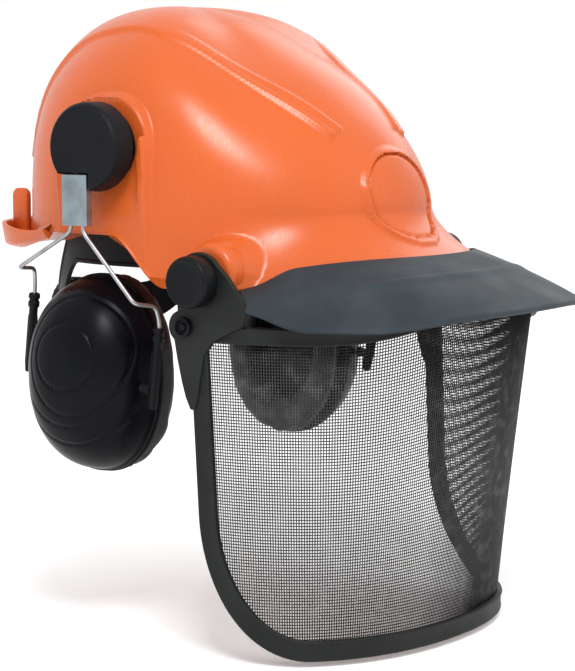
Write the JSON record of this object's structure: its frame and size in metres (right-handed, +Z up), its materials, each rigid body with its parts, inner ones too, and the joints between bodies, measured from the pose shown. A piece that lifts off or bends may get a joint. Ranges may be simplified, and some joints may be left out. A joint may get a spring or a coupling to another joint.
{
  "type": "forestry helmet",
  "caption": "Forestry safety helmet with harness, swing-out ear muffs on wire arms and a flip-up mesh visor under a soft peak.",
  "frame": {"origin": "the middle of the head opening, level with the visor's pivots", "axes": "+Z up, the wearer faces -Y, +X towards the wearer's left"},
  "size_m": [0.256, 0.333, 0.3396],
  "materials": {
    "shell_orange": "moulded, lightly polished",
    "black_plastic": "fine grained",
    "cup_plastic": "satin",
    "peak_plastic": "soft, fine grained",
    "harness_plastic": "satin",
    "wire_mesh": "black enamel",
    "spring_steel": "bright",
    "cushion_skin": "soft imitation leather",
    "foam": "open cell",
    "webbing": "woven"
  },
  "bodies": {
    "shell": {"helmet_shell": "shell_orange", "headband": "harness_plastic", "sweatband": "cushion_skin", "front_clip_right": "harness_plastic", "front_clip_left": "harness_plastic", "side_clip_right": "harness_plastic", "side_clip_left": "harness_plastic", "rear_clip_right": "harness_plastic", "rear_clip_left": "harness_plastic", "crown_strap_middle": "webbing", "crown_strap_a": "webbing", "crown_strap_b": "webbing", "arm_base_right": "black_plastic", "arm_base_left": "black_plastic", "visor_bolt_right": "spring_steel", "visor_bolt_left": "spring_steel", "visor_washer_right": "harness_plastic", "visor_washer_left": "harness_plastic", "peak_lip": "peak_plastic"},
    "nape": {"nape_strap": "black_plastic", "dial_housing": "harness_plastic"},
    "dial": {"nape_dial": "black_plastic"},
    "visor": {"visor_frame": "black_plastic", "visor_mesh": "wire_mesh", "visor_peak": "peak_plastic", "frame_pin_right": "black_plastic", "frame_pin_left": "black_plastic"},
    "knob_right": {"visor_knob_right": "black_plastic"},
    "arm_right": {"arm_cap_right": "black_plastic"},
    "yoke_right": {"arm_plate_right": "spring_steel", "arm_wire_right": "spring_steel"},
    "sleeves_right": {"rear_sleeve_right": "black_plastic", "front_sleeve_right": "black_plastic"},
    "cup_right": {"cup_shell_right": "cup_plastic", "cup_back_plate_right": "black_plastic", "cup_liner_right": "foam", "ear_cushion_right": "cushion_skin"},
    "knob_left": {"visor_knob_left": "black_plastic"},
    "arm_left": {"arm_cap_left": "black_plastic"},
    "yoke_left": {"arm_plate_left": "spring_steel", "arm_wire_left": "spring_steel"},
    "sleeves_left": {"rear_sleeve_left": "black_plastic", "front_sleeve_left": "black_plastic"},
    "cup_left": {"cup_shell_left": "cup_plastic", "cup_back_plate_left": "black_plastic", "cup_liner_left": "foam", "ear_cushion_left": "cushion_skin"}
  },
  "joints": [
    {"name": "visor_flip", "type": "hinge", "parent": "shell", "child": "visor", "pos_m": [0, -0.063, 0.007], "axis": [-1, 0, 0], "range_deg": [0, 75]},
    {"name": "nape_slide", "type": "slide", "parent": "shell", "child": "nape", "axis": [0, 1, 0], "range_m": [0, 0.01]},
    {"name": "dial_turn", "type": "hinge", "parent": "nape", "child": "dial", "pos_m": [0, 0.111, -0.024], "axis": [0, 1, 0], "range_deg": [0, 300]},
    {"name": "knob_turn_right", "type": "hinge", "parent": "shell", "child": "knob_right", "pos_m": [-0.122, -0.063, 0.007], "axis": [-1, 0, 0], "range_deg": [0, 270]},
    {"name": "arm_turn_right", "type": "hinge", "parent": "shell", "child": "arm_right", "pos_m": [-0.12, 0.006, 0.075], "axis": [1, 0, 0], "range_deg": [-5, 8]},
    {"name": "arm_swing_right", "type": "hinge", "parent": "arm_right", "child": "yoke_right", "pos_m": [-0.1255, 0.0125, 0.0605], "axis": [0, 1, 0], "range_deg": [0, 30]},
    {"name": "muff_height_right", "type": "slide", "parent": "yoke_right", "child": "sleeves_right", "axis": [0.082, 0.1823, -0.9798], "range_m": [0, 0.012]},
    {"name": "cup_tilt_right", "type": "hinge", "parent": "sleeves_right", "child": "cup_right", "pos_m": [-0.10378, 0.02058, -0.04723], "axis": [-0.0023, 0.9874, 0.1583], "range_deg": [-5, 10]},
    {"name": "knob_turn_left", "type": "hinge", "parent": "shell", "child": "knob_left", "pos_m": [0.122, -0.063, 0.007], "axis": [1, 0, 0], "range_deg": [0, 270]},
    {"name": "arm_turn_left", "type": "hinge", "parent": "shell", "child": "arm_left", "pos_m": [0.12, 0.006, 0.075], "axis": [1, 0, 0], "range_deg": [-5, 8]},
    {"name": "arm_swing_left", "type": "hinge", "parent": "arm_left", "child": "yoke_left", "pos_m": [0.1255, 0.0125, 0.0605], "axis": [0, -1, 0], "range_deg": [0, 30]},
    {"name": "muff_height_left", "type": "slide", "parent": "yoke_left", "child": "sleeves_left", "axis": [-0.082, 0.1823, -0.9798], "range_m": [0, 0.012]},
    {"name": "cup_tilt_left", "type": "hinge", "parent": "sleeves_left", "child": "cup_left", "pos_m": [0.10378, 0.02058, -0.04723], "axis": [-0.0023, -0.9874, -0.1583], "range_deg": [-5, 10]}
  ],
  "couplings": [
    {"joint": "dial_turn", "follows": "nape_slide", "rad_per_m": 523.59}
  ]
}
